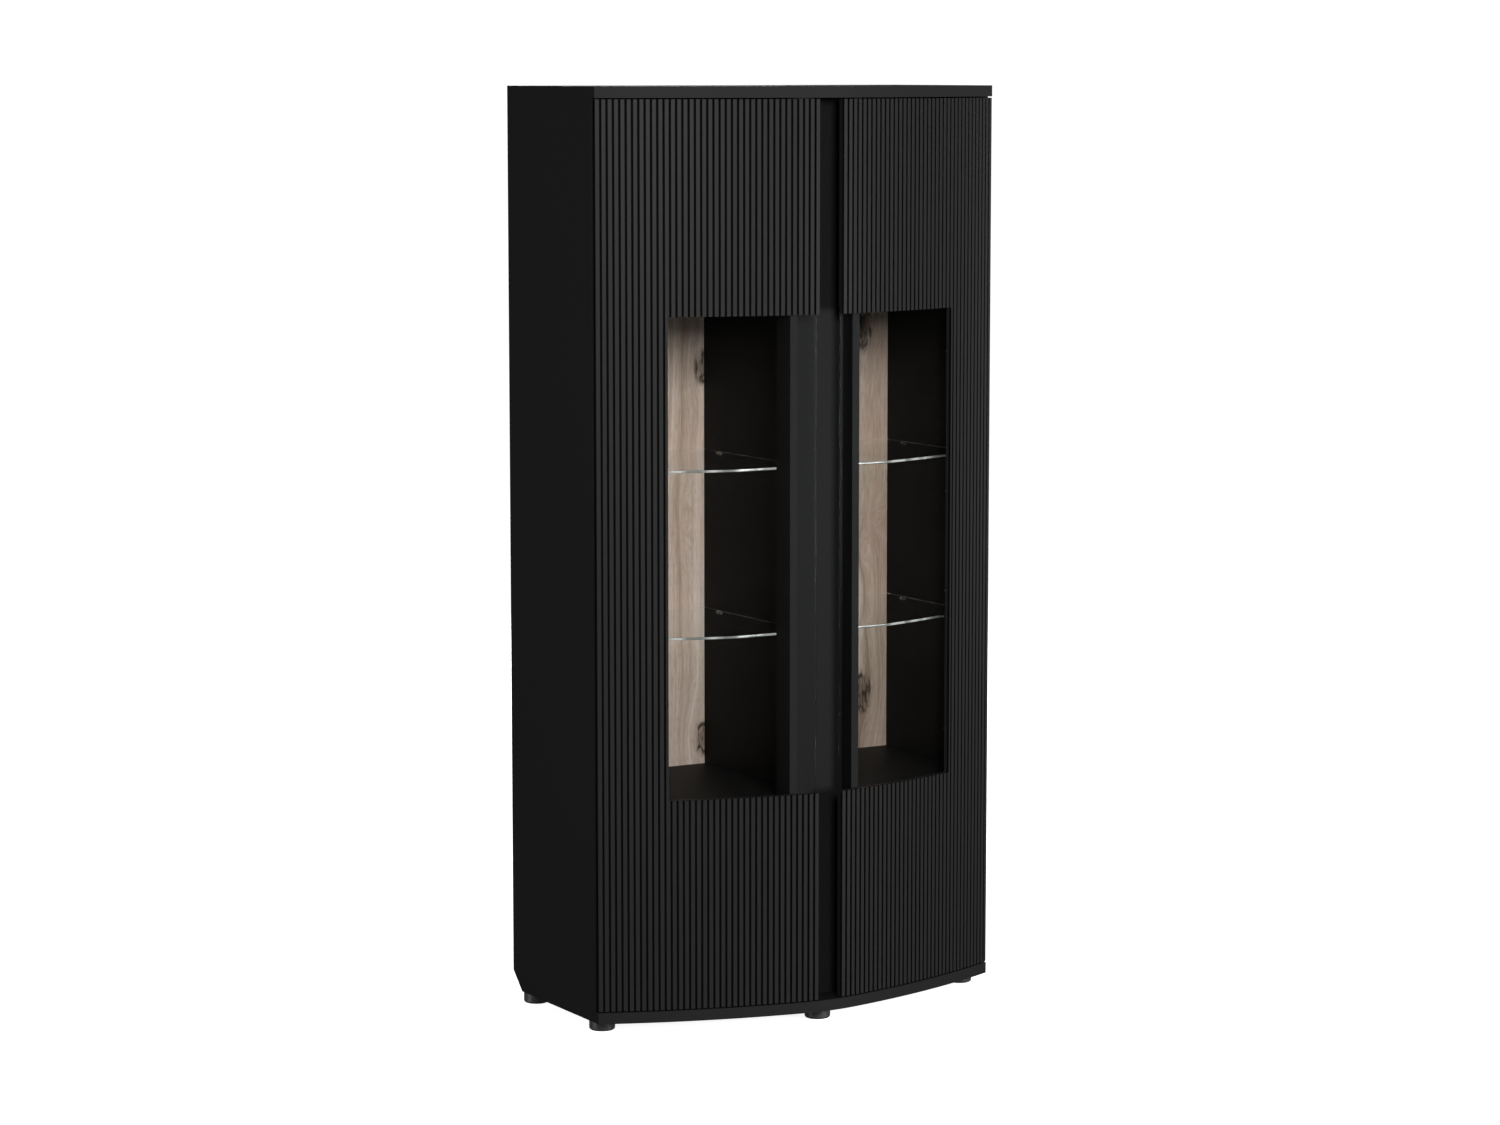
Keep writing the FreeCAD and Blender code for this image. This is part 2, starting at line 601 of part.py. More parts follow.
def foot_screw(x, y):
    drawn = screw(FOOT_HEIGHT - FOOT_SCREW_SEAT + FOOT_SCREW_BITE, FOOT_SCREW)
    return turned(drawn, vec(x, y, FOOT_SCREW_SEAT), vec(0, 0, -1))


def feet():
    nodes = {}
    screws = []
    for spot, (x, y) in FOOT_SPOTS.items():
        nodes["foot_" + spot] = foot(x, y)
        screws.append(foot_screw(x, y))
        if spot.endswith("right"):
            nodes["foot_" + spot.replace("right", "left")] = foot(-x, y)
            screws.append(foot_screw(-x, y))
    nodes["foot_screws"] = group(screws)
    return nodes


# ---------------------------------------------------------------- hinges

def hinge_cup():
    """Cup with its flange and the pocket that the arm turns in, drawn at the cup's axis."""
    cup = cylinder(CUP_RADIUS, vec(0, CUP_BOTTOM), vec(0, 1), DOOR_THICKNESS + SEAT_GAP - CUP_BOTTOM)
    flange_y = (DOOR_THICKNESS + SEAT_GAP, DOOR_THICKNESS + FLANGE_THICKNESS)
    flange_x = (-FLANGE_HALF_WIDTH, FLANGE_HALF_WIDTH)
    flange = box(flange_x, flange_y, (-FLANGE_HALF_HEIGHT, FLANGE_HALF_HEIGHT))
    pocket_z = (-POCKET_HALF_HEIGHT, POCKET_HALF_HEIGHT)
    pocket = box((POCKET_INNER, POCKET_OUTER), (POCKET_FLOOR, flange_y[1] + 1), pocket_z)
    tools = [pocket, hinge_pin(PIN_RADIUS + RUNNING_GAP, PIN_HALF_LENGTH + PIN_END_PLAY)]
    for rise in (-CUP_SCREW_RISE, CUP_SCREW_RISE):
        start = vec(0, DOOR_THICKNESS, rise)
        tools.append(cylinder(CUP_SCREW_BORE, start, vec(0, 1), 2 * FLANGE_THICKNESS))
    return cut_all(cup.fuse(flange), tools)


def hinge_pin(radius, half_length):
    """Pin on the hinge's axis, drawn at the cup's axis."""
    offset = CUP_OFFSET - PIVOT_OFFSET
    return cylinder(radius, vec(offset, PIVOT_DEPTH, -half_length), Z_AXIS, 2 * half_length)


def cup_bore():
    return cylinder(CUP_RADIUS + DRILL_PLAY, vec(0, CUP_BOTTOM - DRILL_PLAY), vec(0, 1), DOOR_THICKNESS)


def cup_screws():
    seat_y = DOOR_THICKNESS + FLANGE_THICKNESS
    drawn = screw(seat_y - CUP_SCREW_TIP, CUP_SCREW)
    rises = (-CUP_SCREW_RISE, CUP_SCREW_RISE)
    return [turned(drawn, vec(0, seat_y, rise), vec(0, 1)) for rise in rises]


def pivot_point():
    """Plan point of the door's axis, square to the cup."""
    heading = bow_angle(CUP_ARC)
    along = vec(math.cos(heading), math.sin(heading))
    return bow_point(CUP_ARC, PIVOT_DEPTH) + along * (CUP_OFFSET - PIVOT_OFFSET)


def arm_inner_x():
    """X of the arm body's face towards the middle of the cabinet."""
    bend_x = (pivot_point() - vec(math.cos(bow_angle(CUP_ARC)), 0) * ARM_REACH).x
    return bend_x + ARM_THICKNESS / 2 - ARM_BODY_THICKNESS


def arm_screw_bore(radius, start_x, depth):
    """Holes for both adjusting screws of an arm, along X from `start_x`."""
    return [cylinder(radius, vec(start_x, CORNER_Y + back), vec(1, 0), depth) for back in ARM_SCREWS]


def hinge_arm(height):
    """Arm from the pin, along the cup's pocket and back to the mounting plate."""
    pivot = pivot_point()
    heading = bow_angle(CUP_ARC)
    along = vec(math.cos(heading), math.sin(heading))
    bend = pivot - along * ARM_REACH
    z = (-ARM_HALF_HEIGHT, ARM_HALF_HEIGHT)
    half = ARM_THICKNESS / 2
    eye = cylinder(EYE_RADIUS, pivot + vec(0, 0, z[0]), Z_AXIS, 2 * ARM_HALF_HEIGHT)
    link = box((-ARM_REACH, 0), (-half, half), z)
    link.rotate(vec(0, 0), Z_AXIS, math.degrees(heading))
    link.translate(pivot)
    knuckle = cylinder(half, bend + vec(0, 0, z[0]), Z_AXIS, 2 * ARM_HALF_HEIGHT)
    body_x = (arm_inner_x(), arm_inner_x() + ARM_BODY_THICKNESS)
    body_y = (CORNER_Y + ARM_BODY_FRONT, CORNER_Y + ARM_BODY_BACK)
    leg = box((bend.x - half, bend.x + half), (bend.y, body_y[0] + 1), z)
    body = box(body_x, body_y, (-ARM_BODY_HALF_HEIGHT, ARM_BODY_HALF_HEIGHT))
    hole = cylinder(PIN_RADIUS + RUNNING_GAP, pivot + vec(0, 0, z[0]), Z_AXIS, 2 * ARM_HALF_HEIGHT)
    holes = [hole] + arm_screw_bore(ARM_SCREW["head"] + DRILL_PLAY, body_x[0], ARM_SCREW["height"])
    holes += arm_screw_bore(ARM_SCREW["shank"] + DRILL_PLAY, body_x[0], ARM_BODY_THICKNESS)
    arm = cut_all(eye.fuse(link).fuse(knuckle).fuse(leg).fuse(body), holes)
    arm.translate(vec(0, 0, height))
    return arm


def hinge_plate(height):
    """Cross-shaped mounting plate on the side panel, with a block up to the arm."""
    arm_outer_x = arm_inner_x() + ARM_BODY_THICKNESS
    base_x = (SIDE_INNER_X - PLATE_BASE, SIDE_INNER_X)
    screw_y = CORNER_Y + PLATE_SCREW
    strap_y = (CORNER_Y + PLATE_FRONT, CORNER_Y + PLATE_BACK)
    strap = box(base_x, strap_y, (-PLATE_HALF_HEIGHT, PLATE_HALF_HEIGHT))
    wing_y = (screw_y - WING_HALF_LENGTH, screw_y + WING_HALF_LENGTH)
    wing = box(base_x, wing_y, (-WING_HALF_HEIGHT, WING_HALF_HEIGHT))
    block_y = (strap_y[0] + BLOCK_INSETS[0], strap_y[1] - BLOCK_INSETS[1])
    block = box((arm_outer_x, base_x[0]), block_y, (-ARM_BODY_HALF_HEIGHT, ARM_BODY_HALF_HEIGHT))
    holes = []
    for rise in (-PLATE_SCREW_RISE, PLATE_SCREW_RISE):
        start = vec(base_x[0] - 1, screw_y, rise)
        holes.append(cylinder(PLATE_SCREW_BORE, start, vec(1, 0), PLATE_BASE + 2))
    holes += arm_screw_bore(ARM_SCREW["shank"] + DRILL_PLAY, arm_outer_x, ARM_SCREW_BITE + DRILL_PLAY)
    plate = cut_all(strap.fuse(wing).fuse(block), holes)
    plate.translate(vec(0, 0, height))
    return plate


def hinge_screws(height):
    """Screws of one mounting plate, and those that hold the arm to it."""
    towards_middle = vec(-1, 0)
    plate_screw = screw(PLATE_BASE + PLATE_SCREW_BITE, PLATE_SCREW_SIZE)
    screws = []
    for rise in (-PLATE_SCREW_RISE, PLATE_SCREW_RISE):
        seat = vec(SIDE_INNER_X - PLATE_BASE, CORNER_Y + PLATE_SCREW, height + rise)
        screws.append(turned(plate_screw, seat, towards_middle))
    sink = ARM_SCREW["height"]
    arm_screw = screw(ARM_BODY_THICKNESS - sink + ARM_SCREW_BITE, ARM_SCREW)
    for back in ARM_SCREWS:
        seat = vec(arm_inner_x() + sink, CORNER_Y + back, height)
        screws.append(turned(arm_screw, seat, towards_middle))
    return screws


def hinge_nodes():
    """Right-hand hinge pieces, without their side prefix. Those named door_ move with the door."""
    heights = [BASE_LOW + height for height in HINGE_HEIGHTS]
    pin = hinge_pin(PIN_RADIUS, PIN_HALF_LENGTH)
    return {
        "hinge_plates": group([hinge_plate(z) for z in heights]),
        "hinge_arms": group([hinge_arm(z) for z in heights]),
        "hinge_screws": group([made for z in heights for made in hinge_screws(z)]),
        "door_hinge_cups": group([at_bow(hinge_cup(), CUP_ARC, z) for z in heights]),
        "door_hinge_pins": group([at_bow(pin, CUP_ARC, z) for z in heights]),
        "door_cup_screws": group([at_bow(made, CUP_ARC, z) for z in heights for made in cup_screws()]),
    }


# ---------------------------------------------------------------- doors

def fluted_front(arc_from, arc_to):
    """Plan points of the fluted face between two lengths, from the inner edge outwards."""
    profile = []
    for slat in range(SLAT_COUNT):
        start = DOOR_INNER_ARC + slat * FLUTE_PITCH
        end = start + SLAT_WIDTH
        profile += [(start, FLUTE_DEPTH), (start, SLAT_CHAMFER), (start + SLAT_CHAMFER, 0.0)]
        profile += [(end - SLAT_CHAMFER, 0.0), (end, SLAT_CHAMFER), (end, FLUTE_DEPTH)]
    profile = profile[1:-1]
    kept = [point for point in profile if arc_from <= point[0] <= arc_to]
    if arc_from > DOOR_INNER_ARC:
        kept.insert(0, (arc_from, 0.0))
    return [bow_point(arc, inset) for arc, inset in kept]


def fluted_panel(arc_from, low, high):
    """Fluted board from `arc_from` to the door's outer edge, with that edge's back corner bevelled."""
    front = fluted_front(arc_from, DOOR_OUTER_ARC)
    back_to = DOOR_OUTER_ARC - END_CHAMFER
    back_end = bow_point(back_to, DOOR_THICKNESS)
    bevel = [front[-1], bow_point(DOOR_OUTER_ARC, DOOR_THICKNESS - END_CHAMFER), back_end]
    inner_end = [bow_point(arc_from, DOOR_THICKNESS), front[0]]
    edges = line_edges(front) + line_edges(bevel) + line_edges(inner_end)
    edges += bow_edges(arc_from, back_to, DOOR_THICKNESS)
    return prism(Part.__sortEdges__(edges), low, high)


def glass_band(play):
    """Curved pane behind the window, or with `play` the rebate that it sits in."""
    outer_arc = STRIP_INNER_ARC + GLASS_LAP + play
    front = GLASS_DEPTH + DRILL_PLAY - play / 5
    back = front + GLASS_THICKNESS if play == 0 else DOOR_THICKNESS + 1.0
    inner_arc = DOOR_INNER_ARC if play == 0 else DOOR_INNER_ARC - 1.0
    low = WINDOW_LOW - GLASS_LAP - play
    high = WINDOW_HIGH + GLASS_LAP + play
    return bow_band(inner_arc, outer_arc, front, back, low, high)


def clip_places():
    """Spot along the door and height of each glass clip, and which way it points onto the glass."""
    middle_z = (WINDOW_LOW + WINDOW_HIGH) / 2
    edge = GLASS_LAP + CLIP_SETBACK
    places = []
    for arc in CLIP_ARCS:
        places += [(arc, WINDOW_LOW - edge), (arc, WINDOW_HIGH + edge)]
    places += [(STRIP_INNER_ARC + edge, middle_z + rise) for rise in CLIP_RISES]
    return places


def clip_stem(radius, length):
    return cylinder(radius, vec(0, DOOR_THICKNESS - length), vec(0, 1), length + SEAT_GAP)


def glass_clip():
    """Round turn-over clip with a stem in the door, drawn at its stem."""
    disc = cylinder(CLIP_RADIUS, vec(0, 0), Z_AXIS, CLIP_THICKNESS)
    disc = disc.makeFillet(CLIP_ROUNDING, rim_edges(disc, CLIP_THICKNESS))
    disc = cut_all(disc, [cross_recess(CLIP_RECESS_REACH, CLIP_THICKNESS)])
    seat = vec(0, DOOR_THICKNESS + SEAT_GAP)
    return turned(disc, seat, vec(0, 1)).fuse(clip_stem(CLIP_STEM_RADIUS, CLIP_STEM_LENGTH)).Solids[0]


def strip_dowels(radius, half_length):
    """Dowels that join the outer strip to the panels above and below it."""
    dowels = []
    for arc in STRIP_DOWEL_ARCS:
        spot = bow_point(STRIP_INNER_ARC + arc, STRIP_DOWEL_DEPTH)
        for joint_z in (WINDOW_LOW, WINDOW_HIGH):
            start = spot + vec(0, 0, joint_z - half_length)
            dowels.append(cylinder(radius, start, Z_AXIS, 2 * half_length))
    return dowels


def bumper_places():
    arc = bow_arc_at_x(CHEEK_OUTER_X - CHANNEL_BOARD / 2, DOOR_THICKNESS)
    ends = (DOOR_LOW + BUMPER_END_SETBACK, DOOR_HIGH - BUMPER_END_SETBACK)
    near_window = (WINDOW_LOW - BUMPER_WINDOW_SETBACK, WINDOW_HIGH + BUMPER_WINDOW_SETBACK)
    return [(arc, z) for z in ends + near_window]


def door_nodes():
    """Right-hand door's boards, pane and small parts, without their side prefix."""
    heights = [BASE_LOW + height for height in HINGE_HEIGHTS]
    cutters = [glass_band(GLASS_PLAY)]
    cutters += [at_bow(cup_bore(), CUP_ARC, z) for z in heights]
    stem_bore = clip_stem(CLIP_STEM_RADIUS + DRILL_PLAY, CLIP_STEM_LENGTH + 2 * DRILL_PLAY)
    cutters += [at_bow(stem_bore, arc, z) for arc, z in clip_places()]
    cutters += strip_dowels(DOWEL_RADIUS + DRILL_PLAY, DOWEL_HALF_LENGTH + DOWEL_BORE_PLAY)
    bumper = cylinder(BUMPER_RADIUS, vec(0, DOOR_THICKNESS + SEAT_GAP), vec(0, 1), BUMPER_THICKNESS)
    return {
        "door_lower_panel": cut_all(fluted_panel(DOOR_INNER_ARC, DOOR_LOW, WINDOW_LOW), cutters),
        "door_upper_panel": cut_all(fluted_panel(DOOR_INNER_ARC, WINDOW_HIGH, DOOR_HIGH), cutters),
        "door_outer_strip": cut_all(fluted_panel(STRIP_INNER_ARC, WINDOW_LOW, WINDOW_HIGH), cutters),
        "door_glass": glass_band(0),
        "door_glass_clips": group([at_bow(glass_clip(), arc, z) for arc, z in clip_places()]),
        "door_dowels": group(strip_dowels(DOWEL_RADIUS, DOWEL_HALF_LENGTH)),
        "door_bumpers": group([at_bow(bumper, arc, z) for arc, z in bumper_places()]),
    }


# ---------------------------------------------------------------- assembly

def sided_nodes():
    """Right-hand pieces that have a left-hand twin, without their side prefix."""
    nodes = {
        "side_panel": side_panel(),
        "display_floor": display_board(BASE_LOW + FLOOR_TOP - BOARD_THICKNESS, "floor"),
        "display_ceiling": display_board(BASE_LOW + CEILING_UNDERSIDE, "ceiling"),
        "back_panel": back_panel(),
        "rear_rail": rear_rail(),
        "shelf_pins": group([shelf_pin(*place) for place in shelf_pin_places()]),
    }
    for name, height in SHELF_HEIGHTS.items():
        nodes[name + "_glass_shelf"] = glass_shelf(height)
    nodes.update(hinge_nodes())
    nodes.update(door_nodes())
    return nodes


def all_nodes():
    nodes = {"centre_partition": centre_partition(), "back_panel_nails": back_panel_nails()}
    nodes.update(plates())
    nodes.update(grip_channel())
    nodes.update(feet())
    nodes.update(cam_nodes())
    for name, shape in sided_nodes().items():
        nodes["right_" + name] = shape
        nodes["left_" + name] = mirrored(shape)
    return nodes


os.makedirs("parts", exist_ok=True)
for node, shape in sorted(all_nodes().items()):
    if not shape.isValid():
        raise ValueError(node + " is not a valid shape")
    shape.exportStep("parts/" + node + ".step")
print("pivot at", pivot_point(), "door pitch", round(FLUTE_PITCH, 3), "half arc", round(HALF_ARC, 2))
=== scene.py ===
import math

import bpy
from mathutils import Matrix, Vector


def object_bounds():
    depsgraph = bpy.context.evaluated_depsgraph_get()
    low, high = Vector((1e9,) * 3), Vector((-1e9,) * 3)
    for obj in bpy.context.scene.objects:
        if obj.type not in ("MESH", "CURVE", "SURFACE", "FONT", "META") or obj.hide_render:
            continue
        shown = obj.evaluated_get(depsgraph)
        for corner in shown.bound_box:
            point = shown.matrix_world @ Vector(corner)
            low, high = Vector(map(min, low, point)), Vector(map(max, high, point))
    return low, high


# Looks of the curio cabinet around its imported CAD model. Metres, in the model's own frame.

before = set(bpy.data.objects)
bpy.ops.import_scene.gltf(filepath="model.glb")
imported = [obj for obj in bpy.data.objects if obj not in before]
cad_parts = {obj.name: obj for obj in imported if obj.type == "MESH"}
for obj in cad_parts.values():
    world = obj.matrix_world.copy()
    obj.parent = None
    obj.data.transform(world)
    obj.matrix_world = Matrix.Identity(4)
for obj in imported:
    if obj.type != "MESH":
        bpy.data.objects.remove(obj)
cad_low, cad_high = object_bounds()
centre = (cad_low + cad_high) / 2

SIDES = ("left", "right")

# Camera
CAMERA_PLACE = (-4.054, -6.890, 1.866)
CAMERA_TURN = math.radians(-30.22)
CAMERA_DIP = math.radians(6.99)
CAMERA_LENS = 96.87         # millimetres
CAMERA_SENSOR = 36.0        # millimetres
CAMERA_FAR = 200.0

# Stage and lights. The softboxes' sizes are in metres, their power in watts.
FLOOR_SIZE = 60.0
SOFTBOXES = {
    "key": {"place": (2.6, -4.4, 0.95), "size": (1.4, 1.4), "power": 178.0},
    "window": {"place": (-1.35, -4.4, 2.45), "size": (1.5, 1.2), "power": 192.0},
    "left": {"place": (-5.0, 0.4, 0.5), "size": (2.4, 2.4), "power": 104.0},
    "overhead": {"place": (0.0, 0.4, 4.4), "size": (4.0, 4.0), "power": 42.0},
    "right": {"place": (5.0, 1.7, 1.0), "size": (2.4, 2.4), "power": 62.0},
    "back": {"place": (1.6, 5.2, 2.0), "size": (2.6, 2.6), "power": 130.0},
}
WORLD_GLOW = 1.05           # how bright the surroundings are to the camera
WORLD_DIM = 0.14            # how bright they are to everything else
FLOOR_GLOW = 0.92           # keeps the far floor as pale as the background
FLOOR_TONES = [(0.3, (0.86, 0.86, 0.86)), (0.7, (0.9, 0.9, 0.9))]
WHITE = (1.0, 1.0, 1.0, 1.0)

# Soft edges that modifiers give to the CAD pieces
BOARD_EDGE = 0.0006
SLAT_EDGE = 0.0003
GLASS_EDGE = 0.0006
METAL_EDGE = 0.0003
FOOT_EDGE = 0.0008
WELD_REACH = 0.000001
FLAT_ANGLE = math.radians(0.2)      # faces nearer than this to one plane are joined
SHARP_ANGLE = math.radians(35)      # edges sharper than this are rounded

# The bowed front: a nose arc with a flatter arc each side of it
NOSE_HALF_WIDTH = 0.0597
NOSE_RADIUS = 0.358
NOSE_CENTRE_Y = 0.113
NOSE_BLEND = 0.001          # half the strip over which the nose gives way to the flank
FLANK_RADIUS = 1.5402
FLANK_CENTRE = (-0.1972, 1.2787)

# The flutes, by how far a point lies behind the bowed front, and the painted shade that darkens their
# grooves and the ribs' rounded edges
FLUTE_DEPTH = 0.004
# depths over which the painted shade falls from full tone to its darkest
FLUTE_PAINTED_SHADE_DEPTHS = (0.03 * FLUTE_DEPTH, 0.22 * FLUTE_DEPTH)
DOOR_BACK = (1.2 * FLUTE_DEPTH, 1.4 * FLUTE_DEPTH)
FLUTE_PAINTED_SHADE = 0.04          # how much of its tone the bottom of a flute keeps
BOTTOM_ROUGHER = 0.4        # how much rougher the bottom of a flute is

# Edge band of the boards: how far out it lies on the cheeks, and where it ends on the plates
CHEEK_BAND = (0.0620, 0.0790)
BASE_BAND = 0.0455          # the base plate's band is below this
TOP_BAND = 1.8085           # the top plate's band is above this
BAND_LIGHTER = 1.4          # the band's tone, by the board's

# Tones of the materials
BOARD_TONES = ((0.0094, 0.0094, 0.0095), (0.0074, 0.0074, 0.0075))
FOIL_TONES = ((0.0155, 0.0155, 0.0156), (0.0128, 0.0128, 0.0129))
DUST_TONE = (0.11, 0.11, 0.112)
DUST = 0.08                 # how much the dust in the pores lightens a black board
OAK_TONES = [
    (0.34, (0.20, 0.138, 0.102)),
    (0.43, (0.36, 0.262, 0.200)),
    (0.51, (0.50, 0.386, 0.322)),
    (0.62, (0.67, 0.548, 0.487)),
]
OAK_BLUSH = (1.0, 0.93, 0.90)
OAK_LINE = (0.22, 0.150, 0.108)
OAK_PORE = (0.26, 0.185, 0.138)
KNOT_TONE = (0.120, 0.078, 0.055)
KNOT_CRACK = (0.028, 0.019, 0.014)
HARDBOARD_TONES = [(0.3, (0.24, 0.150, 0.088)), (0.7, (0.40, 0.270, 0.170))]
PANE_CLEAR = (0.940, 0.947, 0.944)
PANE_EDGE = (0.60, 0.74, 0.69)
PANE_SHEEN = (0.9, 0.95, 0.93)
SHELF_PANE = (0.90, 0.93, 0.91)
SHELF_SHADOW = (0.93, 0.96, 0.95, 1.0)
# Dark and pale tones of the shelves' ground edges; the bright and dark patches between them along the
# edges are painted reflections
SHELF_EDGE_TONES_AND_GLINTS = ((0.07, 0.08, 0.075), (0.95, 0.96, 0.94))
GLIDE_TONES = ((0.032, 0.032, 0.033), (0.048, 0.048, 0.049))
MILKY_TONES = ((0.70, 0.72, 0.72), (0.80, 0.82, 0.81))
NICKEL_TONES = ((0.83, 0.81, 0.77), (0.74, 0.72, 0.68))
ZINC_TONES = ((0.68, 0.69, 0.70), (0.56, 0.57, 0.59))
STEEL_TONES = ((0.78, 0.80, 0.82), (0.68, 0.70, 0.72))
BEECH_TONES = [(0.35, (0.42, 0.26, 0.14)), (0.6, (0.66, 0.46, 0.29))]

# Oak decor: knots and eyes of its grain, as x and z of the spot, half width, half height
KNOTS = [
    (-0.012, 1.262, 0.022, 0.036),
    (-0.012, 0.497, 0.022, 0.036),
    (0.372, 1.327, 0.024, 0.046),
    (0.372, 0.562, 0.024, 0.046),
    (-0.262, 0.880, 0.016, 0.030),
    (0.150, 1.020, 0.014, 0.024),
]
EYES = [
    (0.407, 0.930, 0.016, 0.050),
    (0.374, 0.868, 0.013, 0.038),
    (-0.055, 0.960, 0.012, 0.075),
    (-0.190, 1.240, 0.020, 0.070),
    (0.240, 0.700, 0.018, 0.060),
]


# ---------------------------------------------------------------- materials

class Graph:
    """One material's node tree, with a short call for each kind of node."""

    def __init__(self, name):
        self.material = bpy.data.materials.new(name)
        self.material.use_nodes = True
        self.tree = self.material.node_tree
        self.tree.nodes.clear()
        self.output = self.tree.nodes.new("ShaderNodeOutputMaterial")
        self.place = self.node("ShaderNodeTexCoord").outputs["Object"]

    def node(self, kind, **settings):
        made = self.tree.nodes.new(kind)
        for name, value in settings.items():
            setattr(made, name, value)
        return made

    def feed(self, socket, value):
        """Links a socket, or sets its constant."""
        if isinstance(value, bpy.types.NodeSocket):
            self.tree.links.new(value, socket)
        elif value is not None:
            socket.default_value = value

    def maths(self, operation, first, second=None):
        made = self.node("ShaderNodeMath", operation=operation)
        for socket, value in zip(made.inputs, (first, second)):
            self.feed(socket, value)
        return made.outputs[0]

    def add(self, *terms):
        total = terms[0]
        for term in terms[1:]:
            total = self.maths("ADD", total, term)
        return total

    def times(self, first, second):
        return self.maths("MULTIPLY", first, second)

    def axes(self, vector=None):
        """The x, y and z of a vector, or of the place on the piece."""
        made = self.node("ShaderNodeSeparateXYZ")
        self.feed(made.inputs[0], vector or self.place)
        return made.outputs[0], made.outputs[1], made.outputs[2]

    def vector(self, x=0.0, y=0.0, z=0.0):
        made = self.node("ShaderNodeCombineXYZ")
        for socket, value in zip(made.inputs, (x, y, z)):
            self.feed(socket, value)
        return made.outputs[0]

    def stretched(self, x, y, z):
        """The piece's coordinates, scaled along each axis."""
        made = self.node("ShaderNodeVectorMath", operation="MULTIPLY")
        self.feed(made.inputs[0], self.place)
        made.inputs[1].default_value = (x, y, z)
        return made.outputs[0]

    def noise(self, vector, scale, detail=2.0, roughness=0.5, distortion=0.0):
        made = self.node("ShaderNodeTexNoise")
        self.feed(made.inputs["Vector"], vector)
        made.inputs["Scale"].default_value = scale
        made.inputs["Detail"].default_value = detail
        made.inputs["Roughness"].default_value = roughness
        made.inputs["Distortion"].default_value = distortion
        return made.outputs["Fac"]

    def between(self, value, low, high, to_low=0.0, to_high=1.0):
        """Maps a value from one range to another, clamped."""
        made = self.node("ShaderNodeMapRange", clamp=True)
        for socket, item in zip(made.inputs, (value, low, high, to_low, to_high)):
            self.feed(socket, item)
        return made.outputs[0]

    def ramp(self, value, stops):
        """Colour ramp through (position, colour) stops."""
        made = self.node("ShaderNodeValToRGB")
        self.feed(made.inputs[0], value)
        elements = made.color_ramp.elements
        while len(elements) < len(stops):
            elements.new(1.0)
        for element, (position, colour) in zip(elements, stops):
            element.position = position
            element.color = (*colour, 1.0)
        return made.outputs[0]

    def blend(self, factor, first, second, mode="MIX"):
        made = self.node("ShaderNodeMix", data_type="RGBA", blend_type=mode)
        self.feed(made.inputs[0], factor)
        for socket, value in ((made.inputs[6], first), (made.inputs[7], second)):
            self.feed(socket, (*value, 1.0) if isinstance(value, tuple) else value)
        return made.outputs[2]

    def bump(self, height, distance, strength):
        made = self.node("ShaderNodeBump")
        self.feed(made.inputs["Height"], height)
        made.inputs["Distance"].default_value = distance
        made.inputs["Strength"].default_value = strength
        return made.outputs[0]

    def facing(self):
        """The surface's own direction in the piece's axes, as x, y and z."""
        return self.axes(self.node("ShaderNodeTexCoord").outputs["Normal"])

    def surface(self, colour, roughness, normal=None, **constants):
        """Principled shader; constants are set on its own sockets."""
        shader = self.node("ShaderNodeBsdfPrincipled")
        self.feed(shader.inputs["Base Color"], (*colour, 1.0) if isinstance(colour, tuple) else colour)
        self.feed(shader.inputs["Roughness"], roughness)
        self.feed(shader.inputs["Normal"], normal)
        for name, value in constants.items():
            shader.inputs[name.replace("_", " ")].default_value = value
        return shader.outputs[0]

    def finish(self, shader):
        self.feed(self.output.inputs["Surface"], shader)
        return self.material


def bow_depth(g):
    """How far a point lies behind the cabinet's bowed front."""
    x, y, _ = g.axes()
    across = g.maths("ABSOLUTE", x)
    nose = g.maths("SUBTRACT", NOSE_RADIUS, reach(g, across, g.add(y, -NOSE_CENTRE_Y)))
    flank_x = g.add(across, -FLANK_CENTRE[0])
    flank = g.maths("SUBTRACT", FLANK_RADIUS, reach(g, flank_x, g.add(y, -FLANK_CENTRE[1])))
    past_nose = g.between(across, NOSE_HALF_WIDTH - NOSE_BLEND, NOSE_HALF_WIDTH + NOSE_BLEND)
    return g.add(nose, g.times(past_nose, g.maths("SUBTRACT", flank, nose)))


def reach(g, x, y):
    """Distance from the origin in plan."""
    return g.maths("SQRT", g.add(g.times(x, x), g.times(y, y)))


def painted_flute_shade(g):
    """Painted shade along a flute's depth: full tone on the ribs' faces, darkening over their rounded
    edges to a near-black painted shade at the bottom, full tone again on the door's back.
    """
    depth = bow_depth(g)
    front = g.between(depth, *FLUTE_PAINTED_SHADE_DEPTHS, 1.0, FLUTE_PAINTED_SHADE)
    behind = g.between(depth, *DOOR_BACK)
    return g.maths("MAXIMUM", front, behind)


def edge_band(g):
    """1 on the banded front edges of the cheeks, the base plate and the top plate."""
    x, _, z = g.axes()
    across = g.maths("ABSOLUTE", x)
    past_inner = g.maths("GREATER_THAN", across, CHEEK_BAND[0])
    before_outer = g.maths("LESS_THAN", across, CHEEK_BAND[1])
    plates = g.add(g.maths("LESS_THAN", z, BASE_BAND), g.maths("GREATER_THAN", z, TOP_BAND))
    banded = g.maths("MINIMUM", g.add(g.times(past_inner, before_outer), plates), 1.0)
    return g.times(banded, g.between(g.facing()[1], -0.5, -0.7))


